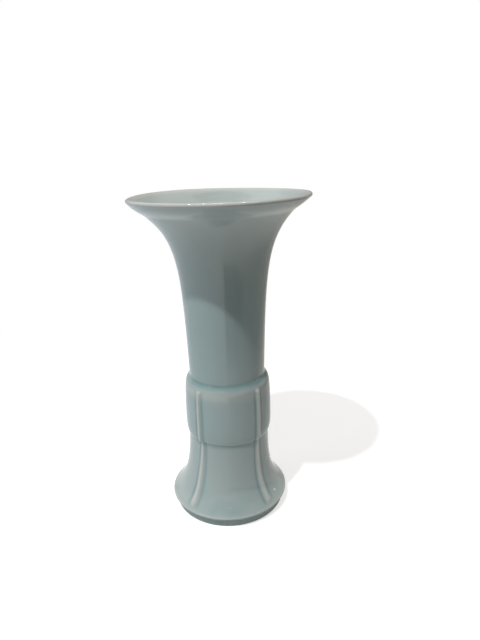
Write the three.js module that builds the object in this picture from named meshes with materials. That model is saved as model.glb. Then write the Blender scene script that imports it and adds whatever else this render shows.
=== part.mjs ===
// A celadon beaker vase: a trumpet neck, a ribbed middle drum and a bell foot on a bare foot ring.
// Each section is its own solid, seated in the next one by a spigot and socket, as a potter lutes them.
// Millimetres, +Z up, origin at the centre of the foot's resting plane, the front towards -Y.
import * as THREE from "three";

// Driving dimensions: heights
const height = 250;
const footHeight = 65;
const drumHeight = 47.8;
const bellyRise = 15;
const ringHeight = 7.6;

// Driving dimensions: outer radii and the steps between them
const mouthRadius = 66.5;
const neckRadius = 29.6;
const drumBulge = 4.7;
const shoulderTaper = 1.2;
const skirtDrop = 1.2;
const skirtStep = 1.2;
const footRadius = 47.7;
const ringInset = 3.2;
const ringTaper = 0.7;

// Driving dimensions: how the lip and the foot edge are rounded and how the walls flare to them
const lipRadius = 1.6;
const lipTilt = THREE.MathUtils.degToRad(59);
const neckTaper = 0.02;
const mouthFlareLength = 20;
const footEdgeRadius = 1.1;
const footEdgeTilt = THREE.MathUtils.degToRad(49);
const footFlareLength = 13.5;
const shoulderPower = 13;
const skirtPower = 4;

// Driving dimensions: walls and luted seats
const neckWall = 4;
const drumWall = 4.6;
const spigotWall = 4;
const neckSpigotDepth = 6.8;
const stemSpigotHeight = 8;
const collarHeight = 5;
const collarEdge = 0.4;
const floorThickness = 4.5;
const floorDrop = 2;
const floorLedge = 2;
const tongueInset = 3.75;
const tongueWidth = 2.5;
const ringFaceWidth = 5.25;
const ringChamfer = 0.5;
const clearance = 0.3;

// Driving dimensions: applied ribs
const drumRibAngle = THREE.MathUtils.degToRad(42.8);
const footRibAngle = THREE.MathUtils.degToRad(41.3);
const footRibSplay = THREE.MathUtils.degToRad(3.4);
const ribHeight = 1.2;
const drumRibWidth = 4;
const drumRibTopInset = 5.5;
const drumRibBottomInset = 1;
const footRibTopWidth = 3.4;
const footRibBottomWidth = 5;
const footRibBottomInset = 1.5;

// Smoothness of the turned and lofted surfaces
const segments = 48;
const ribStations = 12;
const ribSides = 6;

const point = (radius, z) => new THREE.Vector2(radius, z);

// Points of an outline between two heights, closer together near the end when crowd is above 1
function rise(from, to, steps, radiusAt, crowd) {
  return Array.from({ length: steps + 1 }, (_, i) => {
    const z = from + (to - from) * (1 - (1 - i / steps) ** crowd);
    return point(radiusAt(z), z);
  });
}

function arc(centre, radius, from, to, steps) {
  return Array.from({ length: steps + 1 }, (_, i) => {
    const angle = from + ((to - from) * i) / steps;
    return point(centre.x + radius * Math.cos(angle), centre.y + radius * Math.sin(angle));
  });
}

// A radius that swells exponentially from a plain or tapered tube to the point where the flare ends
function flare(tubeRadius, taper, tubeEnd, flareEnd, length) {
  const reach = flareEnd.x - tubeRadius - taper * (flareEnd.y - tubeEnd);
  return (z) => tubeRadius + taper * (z - tubeEnd) + reach * Math.exp(-Math.abs(flareEnd.y - z) / length);
}

// A solid of revolution about +Z from an outline of radius and height
function turned(outline) {
  const startsOnAxis = outline[0].x === 0;
  const profile = startsOnAxis ? outline : [...outline, outline[0]];
  return new THREE.LatheGeometry(profile, segments).rotateX(Math.PI / 2);
}

// Trumpet neck: a spigot, a flaring wall and a rounded lip
const drumTop = footHeight + drumHeight;
const neckSeat = drumTop - neckSpigotDepth;
const neckBore = neckRadius - neckWall;
const lipCentre = point(mouthRadius - lipRadius, height - lipRadius);
const lipArc = arc(lipCentre, lipRadius, -lipTilt, Math.PI - lipTilt, 5);
const neckOuter = flare(neckRadius, neckTaper, drumTop, lipArc.at(0), mouthFlareLength);
const neckInner = flare(neckBore, neckTaper, drumTop, lipArc.at(-1), mouthFlareLength);

function trumpetNeck() {
  const outside = rise(drumTop, lipArc.at(0).y, 14, neckOuter, 1.7);
  const inside = rise(drumTop, lipArc.at(-1).y, 10, neckInner, 1.7).reverse();
  return turned([
    point(neckBore, neckSeat),
    point(neckRadius, neckSeat),
    ...outside,
    ...lipArc.slice(1, -1),
    ...inside,
  ]);
}

// Middle drum: a barrel with an upper socket and ledge for the neck and a lower socket for the stem
const drumRadius = neckRadius + drumBulge;
const drumBelly = footHeight + bellyRise;
const drumBore = drumRadius - drumWall;
const skirtRadius = drumRadius - skirtDrop;
const neckSocket = neckRadius + clearance;
const shoulderRadius = neckSocket + collarEdge;

// Above its belly the drum draws in a little and then turns over to the shoulder
function drumOuter(z) {
  if (z > drumBelly) {
    const share = (z - drumBelly) / (drumTop - drumBelly);
    const turnOver = drumRadius - shoulderRadius - shoulderTaper;
    return drumRadius - shoulderTaper * share ** 2 - turnOver * share ** shoulderPower;
  }
  const share = (drumBelly - z) / bellyRise;
  return drumRadius - skirtDrop * share ** skirtPower;
}

function middleDrum() {
  const skirt = rise(drumBelly, footHeight, 6, drumOuter, 1.7).reverse();
  const shoulder = rise(drumBelly, drumTop, 12, drumOuter, 2.2);
  const collarBottom = neckSeat - collarHeight;
  return turned([
    ...skirt,
    ...shoulder.slice(1),
    point(neckSocket, drumTop),
    point(neckSocket, neckSeat),
    point(neckBore, neckSeat),
    point(neckBore, collarBottom),
    point(drumBore, collarBottom - (drumBore - neckBore)),
    point(drumBore, footHeight),
  ]);
}

// Foot ring: a bare turned ring with a ledge for the floor and a tongue that centres the bell
const ringRadius = footRadius - ringInset;
const tongueRadius = ringRadius - tongueInset;
const ringBore = tongueRadius - tongueWidth;
const floorBottom = ringHeight - floorDrop;
const floorTop = floorBottom + floorThickness;

function footRing() {
  return turned([
    point(ringRadius - ringFaceWidth, 0),
    point(ringRadius - ringChamfer, 0),
    point(ringRadius, ringChamfer),
    point(ringRadius - ringTaper, ringHeight),
    point(tongueRadius, ringHeight),
    point(tongueRadius, floorTop),
    point(ringBore, floorTop),
    point(ringBore, floorBottom),
    point(ringBore - floorLedge, floorBottom),
  ]);
}

// Floor: a slab let into the foot ring, flush with the top of its tongue
function floorDisc() {
  const radius = ringBore - clearance;
  return turned([
    point(0, floorBottom),
    point(radius, floorBottom),
    point(radius, floorTop),
    point(0, floorTop),
  ]);
}

// Bell foot: a stem with a spigot for the drum, flaring to a rounded foot edge over the ring
const stemRadius = skirtRadius - skirtStep;
const stemSpigot = drumBore - clearance;
const stemBore = stemSpigot - spigotWall;
const grooveRadius = tongueRadius + clearance;
const grooveTop = floorTop + clearance;
const footEdgeCentre = point(footRadius - footEdgeRadius, ringHeight + footEdgeRadius);
const footEdge = arc(footEdgeCentre, footEdgeRadius, -Math.PI / 2, footEdgeTilt, 4);
const bellOuter = flare(stemRadius, 0, footHeight, footEdge.at(-1), footFlareLength);
const bellInner = flare(stemBore, 0, footHeight, point(ringBore, grooveTop), footFlareLength);

function footBell() {
  const outside = rise(footHeight, footEdge.at(-1).y, 13, bellOuter, 1.6).reverse();
  const inside = rise(footHeight, grooveTop, 8, bellInner, 1.6);
  const spigotTop = footHeight + stemSpigotHeight;
  return turned([
    point(grooveRadius, ringHeight),
    ...footEdge,
    ...outside.slice(1),
    point(stemSpigot, footHeight),
    point(stemSpigot, spigotTop),
    point(stemBore, spigotTop),
    ...inside,
    point(grooveRadius, grooveTop),
  ]);
}

// An applied rib: a half-round strip laid down a turned surface, thinned at both ends
function ribStrip({ radiusAt, top, bottom, topWidth, bottomWidth, angle, splay }) {
  const positions = [];
  const faces = [];
  const ring = ribSides + 1;
  for (let i = 0; i <= ribStations; i += 1) {
    const share = i / ribStations;
    const z = top + (bottom - top) * share;
    const turn = angle + splay * share;
    const outward = new THREE.Vector3(Math.sin(turn), -Math.cos(turn), 0);
    const sideways = new THREE.Vector3(Math.cos(turn), Math.sin(turn), 0);
    const slope = radiusAt(z + 0.5) - radiusAt(z - 0.5);
    const normal = outward.clone().setZ(-slope).normalize();
    const fullness = 0.3 + 0.7 * (1 - Math.abs(2 * share - 1) ** 12);
    const halfWidth = (fullness * (topWidth + (bottomWidth - topWidth) * share)) / 2;
    const seat = outward.clone().multiplyScalar(radiusAt(z)).setZ(z).addScaledVector(normal, clearance);
    for (let k = 0; k < ring; k += 1) {
      const around = (Math.PI * k) / ribSides;
      const place = seat.clone();
      place.addScaledVector(sideways, -halfWidth * Math.cos(around));
      place.addScaledVector(normal, fullness * ribHeight * Math.sin(around));
      positions.push(...place.toArray());
    }
  }
  for (let i = 0; i < ribStations; i += 1) {
    for (let k = 0; k < ring; k += 1) {
      const a = i * ring + k;
      const b = i * ring + ((k + 1) % ring);
      faces.push(a, a + ring, b, b, a + ring, b + ring);
    }
  }
  const lastRing = ribStations * ring;
  for (let k = 1; k < ribSides; k += 1) {
    faces.push(0, k, k + 1);
    faces.push(lastRing, lastRing + k + 1, lastRing + k);
  }
  const geometry = new THREE.BufferGeometry();
  geometry.setAttribute("position", new THREE.Float32BufferAttribute(positions, 3));
  geometry.setIndex(faces);
  return geometry;
}

const drumRib = {
  radiusAt: drumOuter,
  top: drumTop - drumRibTopInset,
  bottom: footHeight + drumRibBottomInset,
  topWidth: drumRibWidth,
  bottomWidth: drumRibWidth,
  angle: drumRibAngle,
  splay: 0,
};

const footRib = {
  radiusAt: bellOuter,
  top: footHeight - clearance,
  bottom: footEdge.at(-1).y + footRibBottomInset,
  topWidth: footRibTopWidth,
  bottomWidth: footRibBottomWidth,
  angle: footRibAngle,
  splay: footRibSplay,
};

// Materials and the assembled vase
const celadonGlaze = new THREE.MeshStandardMaterial({ color: 0xa6b8b5, roughness: 0.12, metalness: 0 });
const bareClay = new THREE.MeshStandardMaterial({ color: 0x747e7c, roughness: 0.6, metalness: 0 });

function piece(name, geometry, material) {
  const mesh = new THREE.Mesh(geometry, material);
  mesh.name = name;
  return mesh;
}

const vase = new THREE.Group();
vase.add(
  piece("trumpet_neck", trumpetNeck(), celadonGlaze),
  piece("middle_drum", middleDrum(), celadonGlaze),
  piece("foot_bell", footBell(), celadonGlaze),
  piece("floor_disc", floorDisc(), celadonGlaze),
  piece("foot_ring", footRing(), bareClay),
);

// Two ribs stand either side of the front panel and two either side of the back one, on drum and foot
for (const [panelName, halfTurn] of [["front", 0], ["back", Math.PI]]) {
  const panel = new THREE.Group();
  panel.rotation.z = halfTurn;
  for (const [sideName, sign] of [["left", -1], ["right", 1]]) {
    for (const [section, rib] of [["drum", drumRib], ["foot", footRib]]) {
      const strip = ribStrip({ ...rib, angle: sign * rib.angle, splay: sign * rib.splay });
      panel.add(piece(`${section}_rib_${panelName}_${sideName}`, strip, celadonGlaze));
    }
  }
  vase.add(panel);
}

export default vase;
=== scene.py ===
# Celadon beaker vase: trumpet neck, ribbed drum and bell foot under one glaze, on a bare foot ring
import math

import bmesh
import bpy
from mathutils import Matrix, Vector, noise


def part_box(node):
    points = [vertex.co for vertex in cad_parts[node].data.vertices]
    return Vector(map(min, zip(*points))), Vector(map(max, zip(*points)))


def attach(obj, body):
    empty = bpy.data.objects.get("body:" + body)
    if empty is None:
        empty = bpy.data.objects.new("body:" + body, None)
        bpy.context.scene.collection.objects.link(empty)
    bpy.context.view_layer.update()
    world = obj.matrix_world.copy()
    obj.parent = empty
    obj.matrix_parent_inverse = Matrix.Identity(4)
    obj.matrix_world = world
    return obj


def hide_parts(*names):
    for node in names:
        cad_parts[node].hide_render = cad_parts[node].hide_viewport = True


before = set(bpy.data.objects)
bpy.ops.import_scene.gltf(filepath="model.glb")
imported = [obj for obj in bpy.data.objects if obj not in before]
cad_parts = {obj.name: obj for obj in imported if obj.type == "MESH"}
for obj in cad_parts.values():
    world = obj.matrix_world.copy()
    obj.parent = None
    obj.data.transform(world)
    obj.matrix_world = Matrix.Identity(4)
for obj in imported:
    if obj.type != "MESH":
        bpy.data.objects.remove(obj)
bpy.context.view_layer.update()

mm = 0.001
scene = bpy.context.scene
scene.view_settings.view_transform = "Standard"

# Corners of the CAD sections, in metres, that every piece below is worked out from
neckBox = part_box("trumpet_neck")
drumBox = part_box("middle_drum")
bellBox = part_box("foot_bell")
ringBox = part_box("foot_ring")
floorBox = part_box("floor_disc")
print("frame loaded:", len(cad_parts), "sections and ribs")


# Camera: a phone's main lens, close to the vase and a little above its mouth
camera = {
    "place": (0.0, -0.3653, 0.27768),
    "yaw": 0.0320,
    "pitch": 0.3232,
    "roll": -0.0268,
    "focalPixels": 500.0,
    "framePixels": 640.0,  # the long side of the 480 x 640 frame
    "sensor": 36.0,
}


def addCamera(c):
    forward = Vector((
        math.sin(c["yaw"]) * math.cos(c["pitch"]),
        math.cos(c["yaw"]) * math.cos(c["pitch"]),
        -math.sin(c["pitch"]),
    ))
    level = Vector((math.cos(c["yaw"]), -math.sin(c["yaw"]), 0))
    upright = level.cross(forward)
    right = level * math.cos(c["roll"]) + upright * math.sin(c["roll"])
    up = upright * math.cos(c["roll"]) - level * math.sin(c["roll"])
    turn = Matrix((right, up, -forward)).transposed()
    data = bpy.data.cameras.new("camera")
    data.sensor_width = c["sensor"]
    data.lens = c["sensor"] * c["focalPixels"] / c["framePixels"]
    data.clip_start = 0.01
    holder = bpy.data.objects.new("camera", data)
    holder.matrix_world = Matrix.Translation(c["place"]) @ turn.to_4x4()
    scene.collection.objects.link(holder)
    scene.camera = holder


addCamera(camera)
print("camera set")


# Small helpers for materials
def linear(hexColour):
    channels = [int(hexColour[i:i + 2], 16) / 255 for i in (1, 3, 5)]
    return [c / 12.92 if c <= 0.04045 else ((c + 0.055) / 1.055) ** 2.4 for c in channels] + [1.0]


def addNode(tree, kind, inputs=(), **settings):
    node = tree.nodes.new(kind)
    for key, value in settings.items():
        setattr(node, key, value)
    sockets = inputs.items() if isinstance(inputs, dict) else enumerate(inputs)
    for socket, value in sockets:
        if isinstance(value, bpy.types.NodeSocket):
            tree.links.new(value, node.inputs[socket])
        else:
            node.inputs[socket].default_value = value
    return node


def newMaterial(name):
    material = bpy.data.materials.new(name)
    material.use_nodes = True
    material.node_tree.nodes.clear()
    return material, material.node_tree


# Small helpers for turned pieces
weld = 0.002 * mm  # points closer than this are one
creaseAngle = 38.0  # degrees, edges sharper than this stay sharp


def ease(value, low, high):
    share = min(max((value - low) / (high - low), 0.0), 1.0)
    return share * share * (3 - 2 * share)


def hump(value, centre, width):
    return math.exp(-(((value - centre) / width) ** 2))


def stretch(start, end, steps, radiusAt):
    heights = [start + (end - start) * i / steps for i in range(steps + 1)]
    return [(radiusAt(z), z) for z in heights]


def roundOff(centre, radius, start, end, steps):
    angles = [math.radians(start + (end - start) * i / steps) for i in range(steps + 1)]
    return [(centre[0] + radius * math.cos(a), centre[1] + radius * math.sin(a)) for a in angles]


def flare(tubeRadius, taper, tubeEnd, flareEnd, length):
    # the radius at each height of a tube that opens ever faster towards its flared end
    reach = flareEnd[0] - tubeRadius - taper * (flareEnd[1] - tubeEnd)
    return lambda z: tubeRadius + taper * (z - tubeEnd) + reach * math.exp(-abs(flareEnd[1] - z) / length)


def outwardAt(spot, radiusAt):
    # the way a turned wall faces, from the slope of its outline
    step = 0.1 * mm
    slope = (radiusAt(spot.z + step) - radiusAt(spot.z - step)) / (2 * step)
    return Vector((spot.x, spot.y, -slope * spot.xy.length)).normalized()


def turned(outline, steps):
    bm = bmesh.new()
    profile = [bm.verts.new((radius, 0, z)) for radius, z in outline]
    edges = [bm.edges.new(pair) for pair in zip(profile, profile[1:])]
    if outline[0][0] > 0:
        edges.append(bm.edges.new((profile[-1], profile[0])))
    # a quarter turn mirrored twice is far quicker than one spin of as many steps
    bmesh.ops.spin(
        bm, geom=profile + edges, cent=(0, 0, 0), axis=(0, 0, 1), angle=math.pi / 2, steps=steps // 4,
    )
    for axis in ("X", "Y"):
        bmesh.ops.mirror(
            bm, geom=bm.verts[:] + bm.edges[:] + bm.faces[:], matrix=Matrix(), merge_dist=weld, axis=axis,
        )
    bmesh.ops.remove_doubles(bm, verts=bm.verts, dist=weld)
    bmesh.ops.recalc_face_normals(bm, faces=bm.faces)
    return bm


# The fired vase is not quite upright: its foot strays to the left and its middle to the right
sway = {"foot": -0.8, "middle": 0.35, "rise": (8.0, 80.0), "back": (185.0, 245.0)}  # all in mm


def swayAt(z, s):
    risen = (s["middle"] - s["foot"]) * ease(z / mm, *s["rise"])
    return (s["foot"] + risen - s["middle"] * ease(z / mm, *s["back"])) * mm


def finishPiece(bm, name, material, nodes):
    for v in bm.verts:
        v.co.x += swayAt(v.co.z, sway)
    mesh = bpy.data.meshes.new(name)
    bm.to_mesh(mesh)
    bm.free()
    mesh.shade_smooth()
    mesh.set_sharp_from_angle(angle=math.radians(creaseAngle))
    mesh.materials.append(material)
    piece = bpy.data.objects.new(name, mesh)
    scene.collection.objects.link(piece)
    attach(piece, "root")
    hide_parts(*nodes)
    print(name, "made with", len(mesh.polygons), "faces")


# Celadon glaze on porcelain: a clear glassy coat, tinted blue-green by iron, over a white body.
# It runs off edges and crests, where the white shows through, and pools deep teal in corners.
# The attribute "glaze" on each piece says how thick it lies: -1 thin, 0 plain, 1 pooled; in places it also
# carries painted light, paler, and painted shade, deeper.
glaze = {
    "thin": "#d3d8d4",
    "plain": "#a8bebf",
    # the deep teal of pooled glaze, also used for painted shade
    "pooledAndShaded": "#5f8b8f",
    "roughness": 0.07,
    "ior": 1.52,
    "cloudSize": 38.0,  # mm, soft drifts of glaze thickness
    "cloudDepth": 0.10,
    "rippleSize": 9.0,  # mm, the slow waves that bend reflections in a hand-dipped glaze
    "rippleHeight": 0.035,  # mm
}


def celadonGlaze(g):
    material, tree = newMaterial("celadon_glaze")
    place = addNode(tree, "ShaderNodeTexCoord").outputs["Object"]
    depth = addNode(tree, "ShaderNodeAttribute", attribute_name="glaze").outputs["Fac"]
    clouds = addNode(tree, "ShaderNodeTexNoise", {
        "Vector": place, "Scale": 1 / (g["cloudSize"] * mm), "Detail": 3.0, "Roughness": 0.5,
    }).outputs["Fac"]
    drift = addNode(tree, "ShaderNodeMath", (clouds, -0.5), operation="ADD").outputs[0]
    total = addNode(tree, "ShaderNodeMath", (
        drift, 2 * g["cloudDepth"], depth,
    ), operation="MULTIPLY_ADD").outputs[0]
    share = addNode(tree, "ShaderNodeMapRange", (total, -1.0, 1.0)).outputs[0]
    ramp = addNode(tree, "ShaderNodeValToRGB", {"Fac": share})
    ramp.color_ramp.elements[0].color = linear(g["thin"])
    ramp.color_ramp.elements[1].color = linear(g["pooledAndShaded"])
    ramp.color_ramp.elements.new(0.5).color = linear(g["plain"])
    ripples = addNode(tree, "ShaderNodeTexNoise", {
        "Vector": place, "Scale": 1 / (g["rippleSize"] * mm), "Detail": 1.0,
    }).outputs["Fac"]
    bump = addNode(tree, "ShaderNodeBump", {
        "Height": ripples, "Strength": 1.0, "Distance": g["rippleHeight"] * mm,
    }).outputs["Normal"]
    shader = addNode(tree, "ShaderNodeBsdfPrincipled", {
        "Base Color": ramp.outputs["Color"],
        "Roughness": g["roughness"],
        "IOR": g["ior"],
        "Normal": bump,
    })
    addNode(tree, "ShaderNodeOutputMaterial", {"Surface": shader.outputs["BSDF"]})
    return material


# Bare turned porcelain clay, fired grey and smooth but matt, with fine turning lines
clay = {
    "light": "#b4c6c8",
    "dark": "#a3b5b7",
    "roughness": 0.62,
    "grainSize": 1.2,  # mm, mottling of the fired clay
    "grainRange": (0.3, 0.7),
    "lineSpacing": 0.7,  # mm, turning lines, drawn coarse enough to show
    "lineDepth": 0.03,
}
waveLength = 0.314  # of a wave texture's bands at scale 1


def bareClay(c):
    material, tree = newMaterial("bare_clay")
    place = addNode(tree, "ShaderNodeTexCoord").outputs["Object"]
    grain = addNode(tree, "ShaderNodeTexNoise", {
        "Vector": place, "Scale": 1 / (c["grainSize"] * mm), "Detail": 4.0, "Roughness": 0.6,
    }).outputs["Fac"]
    ramp = addNode(tree, "ShaderNodeValToRGB", {"Fac": grain})
    for element, at, colour in zip(ramp.color_ramp.elements, c["grainRange"], (c["dark"], c["light"])):
        element.position = at
        element.color = linear(colour)
    lines = addNode(tree, "ShaderNodeTexWave", {
        "Vector": place, "Scale": waveLength / (c["lineSpacing"] * mm), "Distortion": 0.4, "Detail": 1.0,
    }, wave_type="BANDS", bands_direction="Z").outputs["Fac"]
    bump = addNode(tree, "ShaderNodeBump", {
        "Height": lines, "Strength": 1.0, "Distance": c["lineDepth"] * mm,
    }).outputs["Normal"]
    shader = addNode(tree, "ShaderNodeBsdfPrincipled", {
        "Base Color": ramp.outputs["Color"], "Roughness": c["roughness"], "Normal": bump,
    })
    addNode(tree, "ShaderNodeOutputMaterial", {"Surface": shader.outputs["BSDF"]})
    return material


glazeMaterial = celadonGlaze(glaze)
clayMaterial = bareClay(clay)
print("materials made")


# Trumpet neck, from the seat in the drum to the rounded lip and back down the bore
neck = {
    "tubeRadius": 29.6,
    "wall": 4.0,
    "taper": 0.02,
    "flareLength": 20.0,
    "flareStart": 205.0,  # height above which the outline is drawn more finely
    "lipRadius": 1.6,
    "lipTilt": 59.0,  # degrees below level at which the bore's wall runs into the lip
    "lipUnder": 34.0,  # and the outside, past the swell of the rim
    "fillet": 0.9,  # glaze gathered in the corner above the drum
    "dryLeft": (-0.99, -0.84),  # but for the far left, where it stayed thin
    "filletPool": 0.7,  # an amount of glaze, on the scale of its attribute
    # painted shade: the whole neck a touch deeper
    "neckPaintedShade": 0.06,
    "mouthPale": 0.34,  # paler towards the mouth
    "mouthPaleRise": (150.0, 225.0),  # between these heights
    "borePale": 0.24,  # and more so inside
    "boreSkin": (-1.2, -0.2),  # mm from the bore's face, where outside gives way to inside
    "lipPale": (1.05, 2.6),  # lip radii from the lip's middle, over which its pale look fades: thin glaze on the lip, and painted light on its shaded underside
    "lipPaleRise": (-1.4, 0.3),  # lip radii of height, over which it begins
    "mouthTilt": 0.75,  # degrees, the mouth sank a little to the left in the kiln
    "tiltStart": 175.0,  # height where that lean begins
    "mouthTwist": (0.6, 1.2),  # degrees less of that lean at the front left and at the back
    "rimSwell": 1.15,  # mm, the rim is thicker underneath
    "rimSwellRight": 0.6,  # but less so at its right end
    "rimSwellReach": 13.0,  # mm in from the lip
    "flareFull": 0.9,  # mm, how much fuller the flare is on its left, inward of that
    "flareFullAt": (1.1, 0.6),  # middle and width of that fullness, as shares of the reach
    "mouthFlat": 1.5,  # mm that the mouth lacks of a true circle on its right
    "mouthFlatStart": 40.0,  # radius where that begins
    "steps": 288,
}


def makeNeck(n):
    tube = n["tubeRadius"] * mm
    bore = tube - n["wall"] * mm
    lip = n["lipRadius"] * mm
    fillet = n["fillet"] * mm
    seat = neckBox[0].z
    corner = drumBox[1].z
    flareStart = n["flareStart"] * mm
    lipCentre = (neckBox[1].x - lip, neckBox[1].z - lip)
    lipLine = roundOff(lipCentre, lip, -n["lipUnder"], 180 - n["lipTilt"], 14)
    wallAt = flare(tube, n["taper"], corner, lipLine[0], n["flareLength"] * mm)
    innerAt = flare(bore, n["taper"], corner, lipLine[-1], n["flareLength"] * mm)

    def outerAt(z):
        return wallAt(z) + fillet * math.exp(-(z - corner) / (0.8 * fillet))

    outline = [(bore, seat), (tube, seat), (tube, corner - fillet)]
    outline += stretch(corner, corner + 4 * fillet, 12, outerAt)
    outline += stretch(corner + 4 * fillet, flareStart, 40, outerAt)[1:]
    outline += stretch(flareStart, lipLine[0][1], 90, outerAt)[1:]
    outline += lipLine[1:-1]
    outline += stretch(lipLine[-1][1], corner, 64, innerAt)
    bm = turned(outline, n["steps"])
    glazeLevel = bm.verts.layers.float.new("glaze")
    tilt = math.tan(math.radians(n["mouthTilt"]))
    twists = [math.tan(math.radians(a)) for a in n["mouthTwist"]]
    for v in bm.verts:
        radius = v.co.xy.length
        toRight = v.co.x / radius
        toBack = v.co.y / radius
        lipDistance = math.hypot(radius - lipCentre[0], v.co.z - lipCentre[1])
        # paler lip: thin glaze on top, and painted light under it where little light reaches
        onLip = 1 - ease(lipDistance / lip, *n["lipPale"])
        onLip *= ease((v.co.z - lipCentre[1]) / lip, *n["lipPaleRise"])
        inside = ease((innerAt(max(v.co.z, corner)) - radius) / mm, *n["boreSkin"])
        gathered = ease(corner + 3 * fillet - v.co.z, 0, 3 * fillet) * ease(toRight, *n["dryLeft"])
        paler = n["mouthPale"] * ease(v.co.z / mm, *n["mouthPaleRise"])
        paler += n["borePale"] * inside - n["neckPaintedShade"]
        v[glazeLevel] = n["filletPool"] * gathered - onLip - paler * (1 - onLip)
        share = (lipLine[0][0] - radius) / (n["rimSwellReach"] * mm)
        if 0 < share < 3 and abs(radius - outerAt(v.co.z)) < 0.05 * mm:
            swell = n["rimSwell"] + (n["rimSwellRight"] - n["rimSwell"]) * max(toRight, 0.0) ** 4
            swell *= 3.49 * share * max(1 - share * share, 0.0) ** 2  # a rounded hump that peaks at 1
            full = n["flareFull"] * hump(share, *n["flareFullAt"]) * max(-toRight, 0.0) ** 2
            v.co += outwardAt(v.co, outerAt) * ((swell + full) * mm)
        opened = ease(v.co.xy.length, n["mouthFlatStart"] * mm, neckBox[1].x)
        v.co.x -= n["mouthFlat"] * mm * opened * max(toRight, 0.0) ** 2
        lean = tilt
        if toBack > 0 or toRight < 0:
            lean -= twists[toBack > 0] * abs(toBack)
        v.co.z += v.co.x * lean * ease(v.co.z, n["tiltStart"] * mm, neckBox[1].z)
    finishPiece(bm, "glazed_neck", glazeMaterial, ["trumpet_neck"])


makeNeck(neck)


# Applied ribs: four on the drum and four on the foot, two either side of the front and the back
rib = {
    "drumAngles": (41.8, 41.9),  # degrees from the middle of the panel, to its left and to its right
    "footAngles": (39.2, 41.9),
    "footSplays": (3.9, 2.6),
    "height": 1.25,
    "wobble": 0.2,  # mm, how far a hand-laid rib strays sideways
    "wobbleLength": 22.0,  # mm
    "crestThin": 0.95,
    "crestWidth": 0.46,  # this, and where the glaze pools beside it, as shares of the rib's half width
    "valley": 1.12,
    "valleyWidth": 0.4,
    "valleyPool": 0.5,
}


def ribAcross(spot, r, angles):
    fold = math.atan2(abs(spot.x), abs(spot.y))
    angle = angles[0] if spot.x * spot.y > 0 else angles[1]  # the back is the front, half a turn on
    away = spot.xy.length * (fold - math.radians(angle))
    stray = noise.noise(spot / (r["wobbleLength"] * mm)) * r["wobble"] * mm
    return away + stray


def ribSwell(away, halfWidth):
    share = min(abs(away) / halfWidth, 1.0)
    return 0.5 + 0.5 * math.cos(math.pi * share)


def ribGlaze(away, halfWidth, r):
    crest = hump(away, 0, halfWidth * r["crestWidth"])
    pool = hump(abs(away), halfWidth * r["valley"], halfWidth * r["valleyWidth"])
    return r["valleyPool"] * pool - r["crestThin"] * crest


# Middle drum: a barrel that sits on the stem and holds the neck, with its ribs raised on it
drum = {
    "radius": 34.3,
    "skirtDrop": 1.2,
    "bellyRise": 15.0,
    "shoulderTaper": 1.2,
    "shoulderRound": 2.8,
    "roundPower": 13,
    "barrelPower": 4,
    "skirtEdge": 1.3,
    "neckSocket": 29.75,
    "stemSocket": 29.7,
    "ribHalfWidth": 2.8,
    "ribTopInset": 4.8,
    "ribTopRound": (-1.8, 1.0),  # mm about that height, over which the rib ends
    "glazeRun": 4.2,  # mm, how far the pooled glaze reaches down the shoulder
    "glazeRunStray": 1.6,
    "glazeRunLength": 11.0,
    "glazeRunPool": 0.61,
    "rightPaintedShade": (0.05, 0.4),  # painted shade, deeper to the right where the neck shadows the shoulder: evenly, and more at the far right
    # paler along the rounded lower edge: thin glaze, and a painted highlight
    "edgeThinAndHighlight": 0.45,
    "edgeHighlightWidth": 0.8,
    # a paler band round the shoulder, below the pooled glaze
    "shoulderPale": 0.5,
    "shoulderPaleDrop": 7.0,
    "shoulderPaleWidth": 3.8,
    "steps": 576,
}


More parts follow.
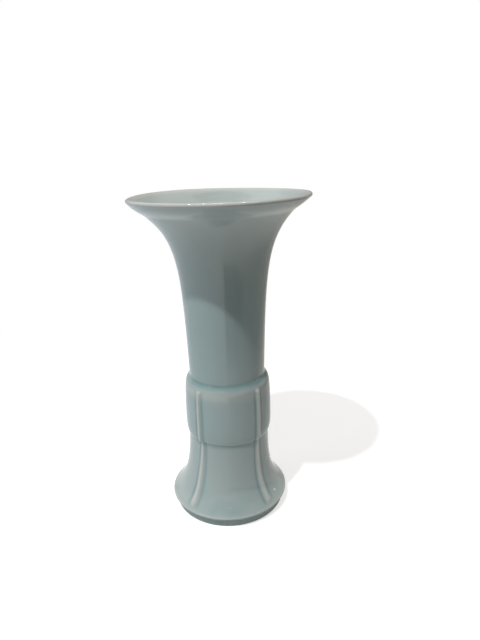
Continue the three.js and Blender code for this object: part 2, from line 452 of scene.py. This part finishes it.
def makeDrum(d):
    top = drumBox[1].z
    bottom = drumBox[0].z
    belly = bottom + d["bellyRise"] * mm
    full = d["radius"] * mm
    skirt = full - d["skirtDrop"] * mm
    edge = d["skirtEdge"] * mm
    seat = neckBox[0].z
    socket = d["neckSocket"] * mm
    bore = d["stemSocket"] * mm

    def outerAt(z):
        if z < belly:
            return full - (full - skirt) * ((belly - z) / (belly - bottom)) ** d["barrelPower"]
        share = (z - belly) / (top - belly)
        return full - (d["shoulderTaper"] * share ** 2 + d["shoulderRound"] * share ** d["roundPower"]) * mm

    edgeTop = bottom + edge
    edgeCentre = (outerAt(edgeTop) - edge, edgeTop)
    outline = roundOff(edgeCentre, edge, -90, 0, 7)
    outline += stretch(edgeTop, top, 90, outerAt)[1:]
    outline += [(socket, top), (socket, seat), (bore, seat), (bore, bottom)]
    bm = turned(outline, d["steps"])
    glazeLevel = bm.verts.layers.float.new("glaze")
    halfWidth = d["ribHalfWidth"] * mm
    ribTop = top - d["ribTopInset"] * mm
    shadeEvenly, shadeFarRight = d["rightPaintedShade"]
    outside = [v for v in bm.verts if v.co.xy.length > socket * 1.004]  # clear of both sockets
    for v in outside:
        z = v.co.z
        toRight = v.co.x / v.co.xy.length
        away = ribAcross(v.co, rib, rib["drumAngles"])
        along = 1 - ease((z - ribTop) / mm, *d["ribTopRound"])
        band = d["glazeRun"] + d["glazeRunStray"] * noise.noise(v.co / (d["glazeRunLength"] * mm))
        # pooled glaze, with painted shade added towards the right
        pooledAndShaded = d["glazeRunPool"] + shadeEvenly * toRight + shadeFarRight * max(toRight, 0.0) ** 2
        pooledAndShaded *= ease(z, top - band * mm, top) * ease(toRight, *neck["dryLeft"])
        paler = d["edgeThinAndHighlight"] * hump(z, edgeTop - 0.6 * edge, d["edgeHighlightWidth"] * mm)
        paler += d["shoulderPale"] * hump(z, top - d["shoulderPaleDrop"] * mm, d["shoulderPaleWidth"] * mm)
        v[glazeLevel] = pooledAndShaded - paler + along * ribGlaze(away, halfWidth, rib)
        v.co += outwardAt(v.co, outerAt) * (rib["height"] * mm * along * ribSwell(away, halfWidth))
    nodes = ["middle_drum"] + [n for n in sorted(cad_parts) if n.startswith("drum_rib")]
    finishPiece(bm, "glazed_drum", glazeMaterial, nodes)


makeDrum(drum)


# Bell foot: the stem and its flare, with ribs that splay and widen towards the foot edge
bell = {
    "stemRadius": 31.9,
    "flareLength": 13.5,
    "edgeRadius": 1.1,
    "edgeTilt": 49.0,
    "fillet": 0.9,  # glaze gathered in the corner under the drum, up to its rounded edge
    "filletRise": 0.45,
    "filletFall": 1.7,
    "spigotRadius": 29.4,
    "spigotWall": 4.0,
    "grooveRadius": 41.05,
    "seatGap": 0.3,
    "ribHalfWidthTop": 2.5,
    "ribHalfWidthBottom": 4.0,
    "ribBottomInset": 2.2,
    "ribBottomRound": (-1.8, 2.2),  # mm about that height, over which the rib ends
    "topPoolAndShade": 0.4,  # glaze pooled under the drum, and painted shade where the drum overhangs
    "topPoolAndShadeReach": (-6.0, -1.0),
    # painted light: the whole foot a little paler
    "footPaintedLight": 0.16,
    "footPool": 0.2,  # glaze run down above the foot edge, turning paler to the sides: painted light there
    "footFlankLight": 0.45,
    "footPoolRise": 5.0,
    "footPoolWidth": 6.0,
    "blotchPool": 0.25,
    "blotchSize": 10.0,  # mm, where the glaze lies unevenly there
    # paler at the foot edge: thin glaze, and a painted highlight
    "edgeThinAndHighlight": 0.4,
    "edgeHighlightRise": (-0.2, 1.4),
    "steps": 576,
}


def makeBell(b):
    shoulder = drumBox[0].z
    spigotTop = bellBox[1].z
    under = bellBox[0].z
    edge = b["edgeRadius"] * mm
    stem = b["stemRadius"] * mm
    spigot = b["spigotRadius"] * mm
    bore = spigot - b["spigotWall"] * mm
    groove = b["grooveRadius"] * mm
    grooveTop = ringBox[1].z + b["seatGap"] * mm
    innerFoot = floorBox[1].x + b["seatGap"] * mm
    edgeCentre = (bellBox[1].x - edge, under + edge)
    edgeLine = roundOff(edgeCentre, edge, -90, b["edgeTilt"], 9)
    edgeTop = edgeLine[-1][1]
    length = b["flareLength"] * mm
    fillet = b["fillet"] * mm
    filletTop = shoulder + b["filletRise"] * mm
    filletBottom = shoulder - 4 * b["filletFall"] * mm
    wallAt = flare(stem, 0, shoulder, edgeLine[-1], length)
    innerAt = flare(bore, 0, shoulder, (innerFoot, grooveTop), length)

    def outerAt(z):
        return wallAt(z) + fillet * math.exp(-(filletTop - z) / (b["filletFall"] * mm))

    outline = [(groove, under)] + edgeLine
    outline += stretch(edgeTop, filletBottom, 90, outerAt)[1:]
    outline += stretch(filletBottom, filletTop, 24, outerAt)[1:]
    outline += [(spigot, filletTop), (spigot, spigotTop), (bore, spigotTop)]
    outline += stretch(shoulder, grooveTop, 30, innerAt)
    outline += [(groove, grooveTop)]
    bm = turned(outline, b["steps"])
    glazeLevel = bm.verts.layers.float.new("glaze")
    ribBottom = edgeTop + b["ribBottomInset"] * mm
    ribWidening = b["ribHalfWidthBottom"] - b["ribHalfWidthTop"]
    for v in bm.verts:
        z = v.co.z
        if z > filletTop + 0.01 * mm or v.co.xy.length < outerAt(max(z, edgeTop)) - 2 * mm:
            continue  # on the spigot, or inside
        share = min((shoulder - z) / (shoulder - ribBottom), 1.0)
        halfWidth = (b["ribHalfWidthTop"] + ribWidening * share) * mm
        angles = [a + share * splay for a, splay in zip(rib["footAngles"], rib["footSplays"])]
        away = ribAcross(v.co, rib, angles)
        along = ease((z - ribBottom) / mm, *b["ribBottomRound"])
        toRight = v.co.x / v.co.xy.length
        # glaze run, with painted light at the left and right flanks
        band = b["footPool"] - b["footFlankLight"] * toRight * toRight
        band += b["blotchPool"] * noise.noise(v.co / (b["blotchSize"] * mm))
        pooledAndShaded = b["topPoolAndShade"] * ease((z - shoulder) / mm, *b["topPoolAndShadeReach"])
        pooledAndShaded += band * hump(z, edgeTop + b["footPoolRise"] * mm, b["footPoolWidth"] * mm)
        paler = b["footPaintedLight"] + b["edgeThinAndHighlight"] * (1 - ease((z - edgeTop) / mm, *b["edgeHighlightRise"]))
        v[glazeLevel] = pooledAndShaded - paler + along * ribGlaze(away, halfWidth, rib)
        v.co += outwardAt(v.co, outerAt) * (rib["height"] * mm * along * ribSwell(away, halfWidth))
    nodes = ["foot_bell"] + [n for n in sorted(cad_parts) if n.startswith("foot_rib")]
    finishPiece(bm, "glazed_foot", glazeMaterial, nodes)


makeBell(bell)


# Foot ring: bare, slightly tapered, with softened edges where it meets the table
ring = {
    "taper": 0.7,
    "faceWidth": 5.25,
    "edge": 0.5,
    "tongueInset": 3.75,
    "tongueWidth": 2.5,
    "ledge": 2.0,
    "steps": 288,
}


def makeRing(r):
    full = ringBox[1].x
    under = ringBox[0].z
    top = bellBox[0].z
    tongueTop = ringBox[1].z
    tongue = full - r["tongueInset"] * mm
    bore = tongue - r["tongueWidth"] * mm
    edge = r["edge"] * mm
    ledge = floorBox[0].z
    inner = full - r["faceWidth"] * mm
    outline = roundOff((full - edge, under + edge), edge, -90, 0, 6)
    outline += [(full - r["taper"] * mm, top), (tongue, top), (tongue, tongueTop), (bore, tongueTop)]
    outline += [(bore, ledge), (bore - r["ledge"] * mm, ledge)]
    outline += roundOff((inner + edge, under + edge), edge, 210, 270, 6)
    bm = turned(outline, r["steps"])
    finishPiece(bm, "bare_foot_ring", clayMaterial, ["foot_ring"])


makeRing(ring)


# Floor: the glazed slab that closes the vessel, slightly dished above and below
floorSlab = {
    "dish": 0.8,
    "dishSteps": 16,
    "steps": 192,
}


def makeFloor(f):
    radius = floorBox[1].x
    low = floorBox[0].z
    high = floorBox[1].z
    dish = f["dish"] * mm
    shares = [i / f["dishSteps"] for i in range(f["dishSteps"] + 1)]
    outline = [(radius * s, low + dish * (1 - s * s)) for s in shares]
    outline += [(radius * s, high - dish * (1 - s * s)) for s in reversed(shares)]
    bm = turned(outline, f["steps"])
    bm.verts.layers.float.new("glaze")
    finishPiece(bm, "glazed_floor", glazeMaterial, ["floor_disc"])


makeFloor(floorSlab)


# Stage: a plain pale floor, white to the eye, that keeps a soft shadow.
# What the glaze mirrors of the floor and the room is a soft play of light, seen by glossy rays alone.
stage = {
    "floorSize": 6.0,
    "floorNear": "#e6e6e6",
    "floorFar": "#929292",
    "floorLift": 0.6,
    "shadowReach": (0.22, 0.60),  # m, from where the lit floor fades to where it is plain white
    "mirrorNear": (1.0, 0.74),  # how bright the glaze mirrors the floor by the vase, to its left and right
    "mirrorFar": (0.9, 0.27),
    "mirrorBack": (0.9, 0.36),  # and behind it
    "mirrorEnd": 0.85,  # and farther off still
    "mirrorReach": (0.22, 0.40),  # m, where near gives way to far
    "mirrorEndReach": (0.7, 1.2),
    "mirrorSides": (-0.05, 0.08),  # m, where left gives way to right
    "mirrorSidesBack": (0.0, 0.45),
    "mirrorDepth": (0.0, 0.15),  # m, where far gives way to behind
    "mirrorTints": ("#f2f9ff", "#fff6ec"),  # cool on the left, warm on the right
    "mirrorTintSides": (-0.3, 0.3),
    "wallMirror": (1.0, 0.36),  # the walls, in front of the vase and behind it
    "wallTurn": (0.55, 0.85),
    "horizon": (0.7, 0.2),  # the front wall is dimmer by the floor, up to this height
    "ceilingMirror": 1.0,
    "ceilingStart": (0.55, 0.88),  # sine of the height at which walls give way to the ceiling
    "stripCentre": 1.09,  # thin lamps fan out under the ceiling from this far behind the vase
    "stripSpacing": 0.06,  # all as shares of the ceiling's height above the vase
    "stripWidth": 0.007,
    "stripReach": (-0.24, -0.10),
    "stripSides": (-0.60, 0.42),
    "stripLevel": 110.0,
    "stripLowest": 0.05,  # sine of the height below which the fan is no longer worked out
    "ambient": 0.02,
    "ambientColour": "#fffaf5",
}
smooth = {"interpolation_type": "SMOOTHSTEP"}


def floorMaterial(s):
    material, tree = newMaterial("studio_floor")
    material.cycles.emission_sampling = "NONE"  # its glow is only seen, so no light is looked for there
    path = addNode(tree, "ShaderNodeLightPath").outputs
    place = addNode(tree, "ShaderNodeTexCoord").outputs["Object"]
    axes = addNode(tree, "ShaderNodeSeparateXYZ", (place,)).outputs
    distance = addNode(tree, "ShaderNodeVectorMath", (place,), operation="LENGTH").outputs["Value"]
    # to the eye: matt with a shadow near the vase, and plain white farther off
    far = addNode(tree, "ShaderNodeMapRange", (distance, *s["shadowReach"]), **smooth).outputs[0]
    seen = addNode(tree, "ShaderNodeMath", (
        path["Is Camera Ray"], path["Is Transmission Ray"],
    ), operation="MAXIMUM").outputs[0]
    unseen = addNode(tree, "ShaderNodeMath", (1.0, seen), operation="SUBTRACT").outputs[0]
    duller = addNode(tree, "ShaderNodeMath", (far, unseen), operation="MULTIPLY").outputs[0]
    tone = addNode(tree, "ShaderNodeValToRGB", {"Fac": duller})
    tone.color_ramp.elements[0].color = linear(s["floorNear"])
    tone.color_ramp.elements[1].color = linear(s["floorFar"])
    matt = addNode(tree, "ShaderNodeBsdfDiffuse", {"Color": tone.outputs["Color"]})
    lift = addNode(tree, "ShaderNodeMath", (seen, s["floorLift"]), operation="MULTIPLY").outputs[0]
    glow = addNode(tree, "ShaderNodeEmission", {"Strength": lift})
    near = addNode(tree, "ShaderNodeAddShader", (matt.outputs[0], glow.outputs[0]))
    white = addNode(tree, "ShaderNodeEmission", {"Strength": 1.0})
    fade = addNode(tree, "ShaderNodeMath", (far, seen), operation="MULTIPLY").outputs[0]
    shown = addNode(tree, "ShaderNodeMixShader", (fade, near.outputs[0], white.outputs[0]))
    # in the glaze: levels of brightness that fade into each other across the floor
    close = addNode(tree, "ShaderNodeMapRange", (
        axes["X"], *s["mirrorSides"], *s["mirrorNear"],
    ), **smooth).outputs[0]
    front = addNode(tree, "ShaderNodeMapRange", (
        axes["X"], *s["mirrorSides"], *s["mirrorFar"],
    ), **smooth).outputs[0]
    back = addNode(tree, "ShaderNodeMapRange", (
        axes["X"], *s["mirrorSidesBack"], *s["mirrorBack"],
    ), **smooth).outputs[0]
    away = addNode(tree, "ShaderNodeMapRange", (
        axes["Y"], *s["mirrorDepth"], front, back,
    ), **smooth).outputs[0]
    around = addNode(tree, "ShaderNodeMapRange", (
        distance, *s["mirrorReach"], close, away,
    ), **smooth).outputs[0]
    level = addNode(tree, "ShaderNodeMapRange", (
        distance, *s["mirrorEndReach"], around, s["mirrorEnd"],
    ), **smooth).outputs[0]
    side = addNode(tree, "ShaderNodeMapRange", (axes["X"], *s["mirrorTintSides"]), **smooth).outputs[0]
    tint = addNode(tree, "ShaderNodeValToRGB", {"Fac": side})
    for element, colour in zip(tint.color_ramp.elements, s["mirrorTints"]):
        element.color = linear(colour)
    mirrored = addNode(tree, "ShaderNodeEmission", {"Color": tint.outputs["Color"], "Strength": level})
    both = addNode(tree, "ShaderNodeMixShader", (
        path["Is Glossy Ray"], shown.outputs[0], mirrored.outputs[0],
    ))
    addNode(tree, "ShaderNodeOutputMaterial", {"Surface": both.outputs[0]})
    return material


def makeSheet(name, low, high, height, material):
    bm = bmesh.new()
    bmesh.ops.create_grid(bm, x_segments=1, y_segments=1, size=0.5)
    bmesh.ops.scale(bm, vec=(high[0] - low[0], high[1] - low[1], 1), verts=bm.verts)
    middle = ((low[0] + high[0]) / 2, (low[1] + high[1]) / 2, height)
    bmesh.ops.translate(bm, vec=middle, verts=bm.verts)
    mesh = bpy.data.meshes.new(name)
    bm.to_mesh(mesh)
    bm.free()
    mesh.materials.append(material)
    sheet = bpy.data.objects.new(name, mesh)
    scene.collection.objects.link(sheet)
    return sheet


def makeStudioFloor(s):
    half = s["floorSize"] / 2
    makeSheet("studio_floor", (-half, -half), (half, half), 0, floorMaterial(s))


def ceilingStrips(tree, axes, s):
    height = addNode(tree, "ShaderNodeMath", (axes["Z"], s["stripLowest"]), operation="MAXIMUM").outputs[0]
    along = addNode(tree, "ShaderNodeMath", (axes["Y"], height), operation="DIVIDE").outputs[0]
    aside = addNode(tree, "ShaderNodeMath", (axes["X"], height), operation="DIVIDE").outputs[0]
    ahead = addNode(tree, "ShaderNodeMath", (s["stripCentre"], along), operation="SUBTRACT").outputs[0]
    across = addNode(tree, "ShaderNodeMath", (aside, ahead), operation="DIVIDE").outputs[0]
    away = addNode(tree, "ShaderNodeMath", (across, s["stripSpacing"] / 2), operation="PINGPONG").outputs[0]
    strips = 1.0
    widths = (-s["stripWidth"], s["stripWidth"])
    for value, (low, high) in ((away, widths), (along, s["stripReach"]), (across, s["stripSides"])):
        within = addNode(tree, "ShaderNodeMath", (
            value, (low + high) / 2, (high - low) / 2,
        ), operation="COMPARE").outputs[0]
        strips = addNode(tree, "ShaderNodeMath", (strips, within), operation="MULTIPLY").outputs[0]
    return strips


def makeWorld(s):
    world = bpy.data.worlds.new("studio")
    world.use_nodes = True
    world.cycles.sampling_method = "NONE"  # almost all light comes from the lamps
    sky = world.node_tree
    sky.nodes.clear()
    path = addNode(sky, "ShaderNodeLightPath").outputs
    way = addNode(sky, "ShaderNodeTexCoord").outputs["Generated"]
    axes = addNode(sky, "ShaderNodeSeparateXYZ", (way,)).outputs
    dim, dimHeight = s["horizon"]
    frontWall, backWall = s["wallMirror"]
    facing = addNode(sky, "ShaderNodeMapRange", (
        axes["Z"], 0.0, dimHeight, dim, frontWall,
    ), **smooth).outputs[0]
    wall = addNode(sky, "ShaderNodeMapRange", (
        axes["Y"], *s["wallTurn"], facing, backWall,
    ), **smooth).outputs[0]
    plain = addNode(sky, "ShaderNodeMapRange", (
        axes["Z"], *s["ceilingStart"], wall, s["ceilingMirror"],
    ), **smooth).outputs[0]
    level = addNode(sky, "ShaderNodeMath", (
        ceilingStrips(sky, axes, s), s["stripLevel"], plain,
    ), operation="MULTIPLY_ADD").outputs[0]
    around = addNode(sky, "ShaderNodeBackground", {
        "Color": linear(s["ambientColour"]), "Strength": s["ambient"],
    })
    white = addNode(sky, "ShaderNodeBackground", {"Color": linear("#ffffff"), "Strength": 1.0})
    room = addNode(sky, "ShaderNodeBackground", {"Color": linear("#ffffff"), "Strength": level})
    seen = addNode(sky, "ShaderNodeMath", (
        path["Is Camera Ray"], path["Is Transmission Ray"],
    ), operation="MAXIMUM").outputs[0]
    shown = addNode(sky, "ShaderNodeMixShader", (seen, around.outputs[0], white.outputs[0]))
    both = addNode(sky, "ShaderNodeMixShader", (path["Is Glossy Ray"], shown.outputs[0], room.outputs[0]))
    addNode(sky, "ShaderNodeOutputWorld", {"Surface": both.outputs[0]})
    scene.world = world


makeStudioFloor(stage)
makeWorld(stage)


# Dark things about the room that only the glaze mirrors: a mat in front, and a hatch in the ceiling
shades = {
    "dark_mat": {
        "low": (-0.01, -0.75),
        "high": (0.75, -0.25),
        "height": 0.002,
        "soft": (0.015, 0.09),
        "ragged": (0.03, 0.20),
        "colour": "#161616",
    },
    "dark_hatch": {
        "low": (-0.62, 0.15),
        "high": (0.50, 0.88),
        "height": 2.2,
        "soft": (0.02, 0.02),
        "ragged": (0.0, 0.0),
        "colour": "#404040",
    },
}
frayWaves = (34.0, 5.0, 1.0)  # to a metre, along each axis, where an edge is ragged


def shadeMaterial(name, s):
    material, tree = newMaterial(name)
    place = addNode(tree, "ShaderNodeTexCoord").outputs["Object"]
    drawnOut = addNode(tree, "ShaderNodeVectorMath", (place, frayWaves), operation="MULTIPLY")
    waves = addNode(tree, "ShaderNodeTexNoise", {"Vector": drawnOut.outputs["Vector"], "Scale": 1.0})
    frayed = addNode(tree, "ShaderNodeVectorMath", (
        waves.outputs["Color"], (*s["ragged"], 0.0), place,
    ), operation="MULTIPLY_ADD").outputs["Vector"]
    axes = addNode(tree, "ShaderNodeSeparateXYZ", (frayed,)).outputs
    covers = []
    for axis, low, high, ragged, soft in zip(axes, s["low"], s["high"], s["ragged"], s["soft"]):
        middle = (low + high + ragged) / 2
        half = (high - low) / 2
        away = addNode(tree, "ShaderNodeMath", (axis, middle), operation="SUBTRACT").outputs[0]
        size = addNode(tree, "ShaderNodeMath", (away,), operation="ABSOLUTE").outputs[0]
        covers.append(addNode(tree, "ShaderNodeMapRange", (size, half, half - soft), **smooth).outputs[0])
    cover = addNode(tree, "ShaderNodeMath", covers, operation="MULTIPLY").outputs[0]
    clear = addNode(tree, "ShaderNodeBsdfTransparent")
    dark = addNode(tree, "ShaderNodeBsdfDiffuse", {"Color": linear(s["colour"])})
    both = addNode(tree, "ShaderNodeMixShader", (cover, clear.outputs[0], dark.outputs[0]))
    addNode(tree, "ShaderNodeOutputMaterial", {"Surface": both.outputs[0]})
    return material


for name, shade in shades.items():
    sheet = makeSheet(name, shade["low"], shade["high"], shade["height"], shadeMaterial(name, shade))
    sheet.visible_camera = False
    sheet.visible_diffuse = False
    sheet.visible_shadow = False
print("stage set")


# Lights: one ceiling lamp over the front left, and soft panels to the left, overhead and behind,
# with a weak one on the right. "toward" is in degrees, from the front round to the right, and up.
lights = {
    "ceiling_lamp": {
        "toward": (-38, 62.7), "distance": 1.8, "size": 0.06, "power": 16.8, "colour": "#fffcf8",
    },
    "left_panel": {
        "toward": (-86, 22), "distance": 1.3, "size": 1.0, "power": 3.5, "colour": "#eff7ff",
    },
    "right_panel": {
        "toward": (95, 38), "distance": 1.3, "size": 1.0, "power": 0.3, "colour": "#fff2e6",
    },
    "overhead_panel": {
        "toward": (0, 68), "distance": 1.6, "size": 1.2, "power": 3.7, "colour": "#fffaf5",
    },
    "back_panel": {
        "toward": (180, 45), "distance": 1.4, "size": 1.0, "power": 3.0, "colour": "#fff6ee",
    },
    "rear_panel": {
        "toward": (150, 14), "distance": 1.4, "size": 1.0, "power": 5.0, "colour": "#fff6ee",
    },
}
# Small lamps that only sparkle in the glaze: two under the ceiling, and others round the room
sparkles = {
    "ceiling": {
        "places": [(-0.078, 0.566, 2.15), (-0.458, 0.489, 2.15)],
        "size": 0.03,
        "power": 0.06,
    },
    "bright": {
        "places": [(-1.91, -2.05, 1.09), (2.79, -0.59, 0.94)],
        "size": 0.07,
        "power": 1.0,
    },
    "faint": {
        "places": [
            (-1.53, -2.45, 0.84), (-2.86, -0.15, 0.89), (2.86, 0.82, 0.43), (-0.09, -2.51, 1.65),
            (0.72, -2.52, 1.47), (1.46, -1.86, 1.86),
        ],
        "size": 0.07,
        "power": 0.5,
    },
}
lightTarget = Vector((0, 0, 0.13))


def addLamp(name, place, size, power, colour):
    data = bpy.data.lights.new(name, "AREA")
    data.shape = "DISK"
    data.size = size
    data.energy = power
    data.color = linear(colour)[:3]
    holder = bpy.data.objects.new(name, data)
    holder.location = place
    holder.rotation_mode = "QUATERNION"
    holder.rotation_quaternion = (lightTarget - holder.location).to_track_quat("-Z", "Y")
    scene.collection.objects.link(holder)
    return holder


for name, lamp in lights.items():
    around, above = [math.radians(a) for a in lamp["toward"]]
    way = Vector((math.sin(around) * math.cos(above), -math.cos(around) * math.cos(above), math.sin(above)))
    place = lightTarget + way * lamp["distance"]
    holder = addLamp(name, place, lamp["size"], lamp["power"], lamp["colour"])
    holder.visible_glossy = False
for name, group in sparkles.items():
    for i, place in enumerate(group["places"]):
        holder = addLamp("%s_lamp_%d" % (name, i + 1), place, group["size"], group["power"], "#ffffff")
        holder.visible_diffuse = False
print("lights set")
